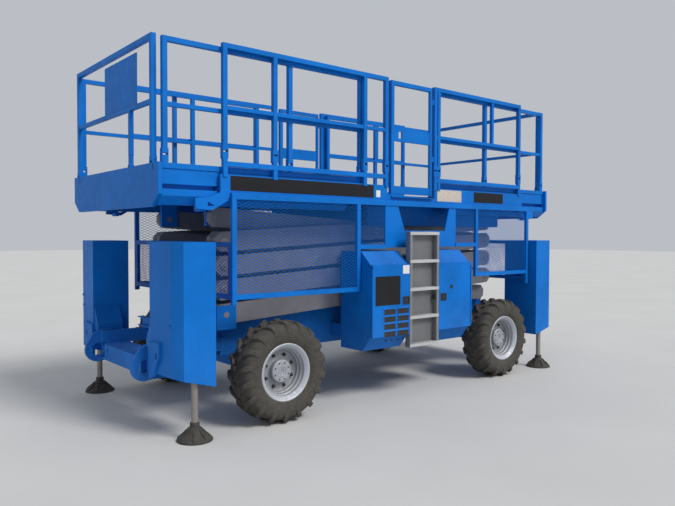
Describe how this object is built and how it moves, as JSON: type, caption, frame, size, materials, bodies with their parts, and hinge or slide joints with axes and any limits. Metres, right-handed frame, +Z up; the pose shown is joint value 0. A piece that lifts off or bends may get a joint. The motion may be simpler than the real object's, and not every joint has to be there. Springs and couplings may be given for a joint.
{
  "type": "rough terrain scissor lift",
  "caption": "Wheeled scissor lift with a folded arm stack, a railed platform with roll-out decks, mesh guards, side modules and corner stabilisers.",
  "frame": {"origin": "on the ground, at the middle of the machine's box", "axes": "+Z up, +X along the length towards the fixed axle, -Y towards the ladder side"},
  "size_m": [4.962, 2.268, 2.98],
  "materials": {
    "paint": "gloss",
    "arm": "satin",
    "rim": "satin",
    "tyre": "matte",
    "rod": "polished",
    "foot": "satin",
    "ladder": "satin",
    "engine": "satin",
    "floor": "satin",
    "grille": "satin"
  },
  "bodies": {
    "chassis": {"chassis_frame": "paint", "end_frames": "paint", "stabiliser_covers": "paint", "axle_front": "arm", "axle_rear": "arm", "module_near_left": "paint", "module_near_right": "paint", "module_far": "paint", "engine_block": "engine", "ladder": "ladder"},
    "knuckle_near": {"knuckle_near": "arm"},
    "knuckle_far": {"knuckle_far": "arm"},
    "wheel_left_near": {"tyre_left_near": "tyre", "rim_left_near": "rim"},
    "leg_left_near": {"leg_left_near": "foot"},
    "wheel_left_far": {"tyre_left_far": "tyre", "rim_left_far": "rim"},
    "leg_left_far": {"leg_left_far": "foot"},
    "wheel_right_near": {"tyre_right_near": "tyre", "rim_right_near": "rim"},
    "leg_right_near": {"leg_right_near": "foot"},
    "wheel_right_far": {"tyre_right_far": "tyre", "rim_right_far": "rim"},
    "leg_right_far": {"leg_right_far": "foot"},
    "arm_outer_1": {"arm_outer_1": "arm"},
    "arm_inner_1": {"arm_inner_1": "arm"},
    "arm_outer_2": {"arm_outer_2": "arm"},
    "arm_inner_2": {"arm_inner_2": "arm"},
    "arm_outer_3": {"arm_outer_3": "arm"},
    "arm_inner_3": {"arm_inner_3": "arm"},
    "arm_outer_4": {"arm_outer_4": "arm"},
    "arm_inner_4": {"arm_inner_4": "arm"},
    "platform": {"platform_floor": "floor", "platform_side_near": "paint", "platform_side_far": "paint", "guard_near": "paint", "guard_far": "paint", "guard_ends": "paint", "mesh_near": "grille", "mesh_far": "grille", "mesh_ends": "grille"},
    "cylinder_barrel_1": {"cylinder_barrel_1": "arm"},
    "cylinder_rod_1": {"cylinder_rod_1": "rod"},
    "cylinder_barrel_2": {"cylinder_barrel_2": "arm"},
    "cylinder_rod_2": {"cylinder_rod_2": "rod"},
    "side_rails_near": {"rails_near": "paint"},
    "gate_near": {"gate_near": "paint"},
    "side_rails_far": {"rails_far": "paint"},
    "gate_far": {"gate_far": "paint"},
    "extension_left": {"extension_deck_left": "paint"},
    "extension_rail_near_left": {"extension_rail_near_left": "paint"},
    "extension_rail_far_left": {"extension_rail_far_left": "paint"},
    "end_rail_left": {"end_rail_left": "paint"},
    "extension_right": {"extension_deck_right": "paint"},
    "extension_rail_near_right": {"extension_rail_near_right": "paint"},
    "extension_rail_far_right": {"extension_rail_far_right": "paint"},
    "end_rail_right": {"end_rail_right": "paint"},
    "door_near_left": {"door_near_left": "paint"},
    "door_near_right": {"door_near_right": "paint"},
    "door_far": {"door_far": "paint"}
  },
  "joints": [
    {"name": "steer_near", "type": "hinge", "parent": "chassis", "child": "knuckle_near", "pos_m": [-1.42, -0.74, 0.415], "axis": [0, 0, 1], "range_deg": [-30, 30]},
    {"name": "steer_far", "type": "hinge", "parent": "chassis", "child": "knuckle_far", "pos_m": [-1.42, 0.74, 0.415], "axis": [0, 0, 1], "range_deg": [-30, 30]},
    {"name": "roll_left_near", "type": "hinge", "parent": "knuckle_near", "child": "wheel_left_near", "pos_m": [-1.42, -0.95, 0.415], "axis": [0, 1, 0], "continuous": true},
    {"name": "stabilise_left_near", "type": "slide", "parent": "chassis", "child": "leg_left_near", "axis": [0, 0, 1], "range_m": [-0.15, 0.3]},
    {"name": "roll_left_far", "type": "hinge", "parent": "knuckle_far", "child": "wheel_left_far", "pos_m": [-1.42, 0.95, 0.415], "axis": [0, 1, 0], "continuous": true},
    {"name": "stabilise_left_far", "type": "slide", "parent": "chassis", "child": "leg_left_far", "axis": [0, 0, 1], "range_m": [-0.15, 0.3]},
    {"name": "roll_right_near", "type": "hinge", "parent": "chassis", "child": "wheel_right_near", "pos_m": [1.42, -0.95, 0.415], "axis": [0, 1, 0], "continuous": true},
    {"name": "stabilise_right_near", "type": "slide", "parent": "chassis", "child": "leg_right_near", "axis": [0, 0, 1], "range_m": [-0.15, 0.3]},
    {"name": "roll_right_far", "type": "hinge", "parent": "chassis", "child": "wheel_right_far", "pos_m": [1.42, 0.95, 0.415], "axis": [0, 1, 0], "continuous": true},
    {"name": "stabilise_right_far", "type": "slide", "parent": "chassis", "child": "leg_right_far", "axis": [0, 0, 1], "range_m": [-0.15, 0.3]},
    {"name": "lift", "type": "hinge", "parent": "chassis", "child": "arm_outer_1", "pos_m": [-1.72, 0, 0.86], "axis": [0, -1, 0], "range_deg": [0, 58.5]},
    {"name": "fold_inner_1", "type": "hinge", "parent": "arm_outer_1", "child": "arm_inner_1", "pos_m": [-0.02294, 0, 0.96], "axis": [0, 1, 0], "range_deg": [0, 117.5]},
    {"name": "fold_outer_2", "type": "hinge", "parent": "arm_inner_1", "child": "arm_outer_2", "pos_m": [-1.72, 0, 1.06], "axis": [0, -1, 0], "range_deg": [0, 117.5]},
    {"name": "fold_inner_2", "type": "hinge", "parent": "arm_outer_2", "child": "arm_inner_2", "pos_m": [-0.02294, 0, 1.16], "axis": [0, 1, 0], "range_deg": [0, 117.5]},
    {"name": "fold_outer_3", "type": "hinge", "parent": "arm_inner_2", "child": "arm_outer_3", "pos_m": [-1.72, 0, 1.26], "axis": [0, -1, 0], "range_deg": [0, 117.5]},
    {"name": "fold_inner_3", "type": "hinge", "parent": "arm_outer_3", "child": "arm_inner_3", "pos_m": [-0.02294, 0, 1.36], "axis": [0, 1, 0], "range_deg": [0, 117.5]},
    {"name": "fold_outer_4", "type": "hinge", "parent": "arm_inner_3", "child": "arm_outer_4", "pos_m": [-1.72, 0, 1.46], "axis": [0, -1, 0], "range_deg": [0, 117.5]},
    {"name": "fold_inner_4", "type": "hinge", "parent": "arm_outer_4", "child": "arm_inner_4", "pos_m": [-0.02294, 0, 1.56], "axis": [0, 1, 0], "range_deg": [0, 117.5]},
    {"name": "platform_level", "type": "hinge", "parent": "arm_inner_4", "child": "platform", "pos_m": [-1.72, 0, 1.66], "axis": [0, -1, 0], "range_deg": [0, 59]},
    {"name": "cylinder_swing_1", "type": "hinge", "parent": "arm_inner_1", "child": "cylinder_barrel_1", "pos_m": [-0.77612, 0, 0.89419], "axis": [0, -1, 0], "range_deg": [0, 110.32]},
    {"name": "cylinder_stroke_1", "type": "slide", "parent": "cylinder_barrel_1", "child": "cylinder_rod_1", "axis": [0.9766, 0, 0.215], "range_m": [0, 0.4594]},
    {"name": "cylinder_swing_2", "type": "hinge", "parent": "arm_inner_3", "child": "cylinder_barrel_2", "pos_m": [-0.77612, 0, 1.29419], "axis": [0, -1, 0], "range_deg": [0, 110.32]},
    {"name": "cylinder_stroke_2", "type": "slide", "parent": "cylinder_barrel_2", "child": "cylinder_rod_2", "axis": [0.9766, 0, 0.215], "range_m": [0, 0.4594]},
    {"name": "rails_fold_near", "type": "hinge", "parent": "platform", "child": "side_rails_near", "pos_m": [0, -0.915, 2.18], "axis": [-1, 0, 0], "range_deg": [0, 90]},
    {"name": "gate_swing_near", "type": "hinge", "parent": "side_rails_near", "child": "gate_near", "pos_m": [0.411, -0.915, 1.88], "axis": [0, 0, 1], "range_deg": [-90, 0]},
    {"name": "rails_fold_far", "type": "hinge", "parent": "platform", "child": "side_rails_far", "pos_m": [0, 0.915, 2.18], "axis": [1, 0, 0], "range_deg": [0, 90]},
    {"name": "gate_swing_far", "type": "hinge", "parent": "side_rails_far", "child": "gate_far", "pos_m": [0.411, 0.915, 1.88], "axis": [0, 0, -1], "range_deg": [-90, 0]},
    {"name": "extend_left", "type": "slide", "parent": "platform", "child": "extension_left", "axis": [-1, 0, 0], "range_m": [0, 1.5]},
    {"name": "extension_fold_near_left", "type": "hinge", "parent": "extension_left", "child": "extension_rail_near_left", "pos_m": [-1.4, -0.87, 2.125], "axis": [-1, 0, 0], "range_deg": [0, 90]},
    {"name": "extension_fold_far_left", "type": "hinge", "parent": "extension_left", "child": "extension_rail_far_left", "pos_m": [-1.4, 0.87, 2.125], "axis": [1, 0, 0], "range_deg": [0, 90]},
    {"name": "end_fold_left", "type": "hinge", "parent": "extension_left", "child": "end_rail_left", "pos_m": [-2.415, 0, 2.07], "axis": [0, 1, 0], "range_deg": [0, 90]},
    {"name": "extend_right", "type": "slide", "parent": "platform", "child": "extension_right", "axis": [1, 0, 0], "range_m": [0, 1.2]},
    {"name": "extension_fold_near_right", "type": "hinge", "parent": "extension_right", "child": "extension_rail_near_right", "pos_m": [1.4, -0.87, 2.125], "axis": [-1, 0, 0], "range_deg": [0, 90]},
    {"name": "extension_fold_far_right", "type": "hinge", "parent": "extension_right", "child": "extension_rail_far_right", "pos_m": [1.4, 0.87, 2.125], "axis": [1, 0, 0], "range_deg": [0, 90]},
    {"name": "end_fold_right", "type": "hinge", "parent": "extension_right", "child": "end_rail_right", "pos_m": [2.415, 0, 2.07], "axis": [0, -1, 0], "range_deg": [0, 90]},
    {"name": "door_swing_near_left", "type": "hinge", "parent": "chassis", "child": "door_near_left", "pos_m": [-0.515, -1.1, 0.9], "axis": [0, 0, 1], "range_deg": [-110, 0]},
    {"name": "door_swing_near_right", "type": "hinge", "parent": "chassis", "child": "door_near_right", "pos_m": [0.83, -1.1, 0.9], "axis": [0, 0, -1], "range_deg": [-110, 0]},
    {"name": "door_swing_far", "type": "hinge", "parent": "chassis", "child": "door_far", "pos_m": [0.83, 1.1, 0.9], "axis": [0, 0, 1], "range_deg": [-110, 0]}
  ],
  "couplings": [
    {"joint": "steer_far", "follows": "steer_near", "ratio": 1},
    {"joint": "fold_inner_1", "follows": "lift", "ratio": 2},
    {"joint": "fold_outer_2", "follows": "lift", "ratio": 2},
    {"joint": "fold_inner_2", "follows": "lift", "ratio": 2},
    {"joint": "fold_outer_3", "follows": "lift", "ratio": 2},
    {"joint": "fold_inner_3", "follows": "lift", "ratio": 2},
    {"joint": "fold_outer_4", "follows": "lift", "ratio": 2},
    {"joint": "fold_inner_4", "follows": "lift", "ratio": 2},
    {"joint": "platform_level", "follows": "lift", "ratio": 1},
    {"joint": "cylinder_swing_1", "follows": "lift", "ratio": 1.8687},
    {"joint": "cylinder_stroke_1", "follows": "lift", "m_per_rad": 0.44504},
    {"joint": "cylinder_swing_2", "follows": "lift", "ratio": 1.8687},
    {"joint": "cylinder_stroke_2", "follows": "lift", "m_per_rad": 0.44504},
    {"joint": "extension_fold_near_left", "follows": "rails_fold_near", "ratio": 1},
    {"joint": "extension_fold_far_left", "follows": "rails_fold_far", "ratio": 1},
    {"joint": "extension_fold_near_right", "follows": "rails_fold_near", "ratio": 1},
    {"joint": "extension_fold_far_right", "follows": "rails_fold_far", "ratio": 1}
  ]
}
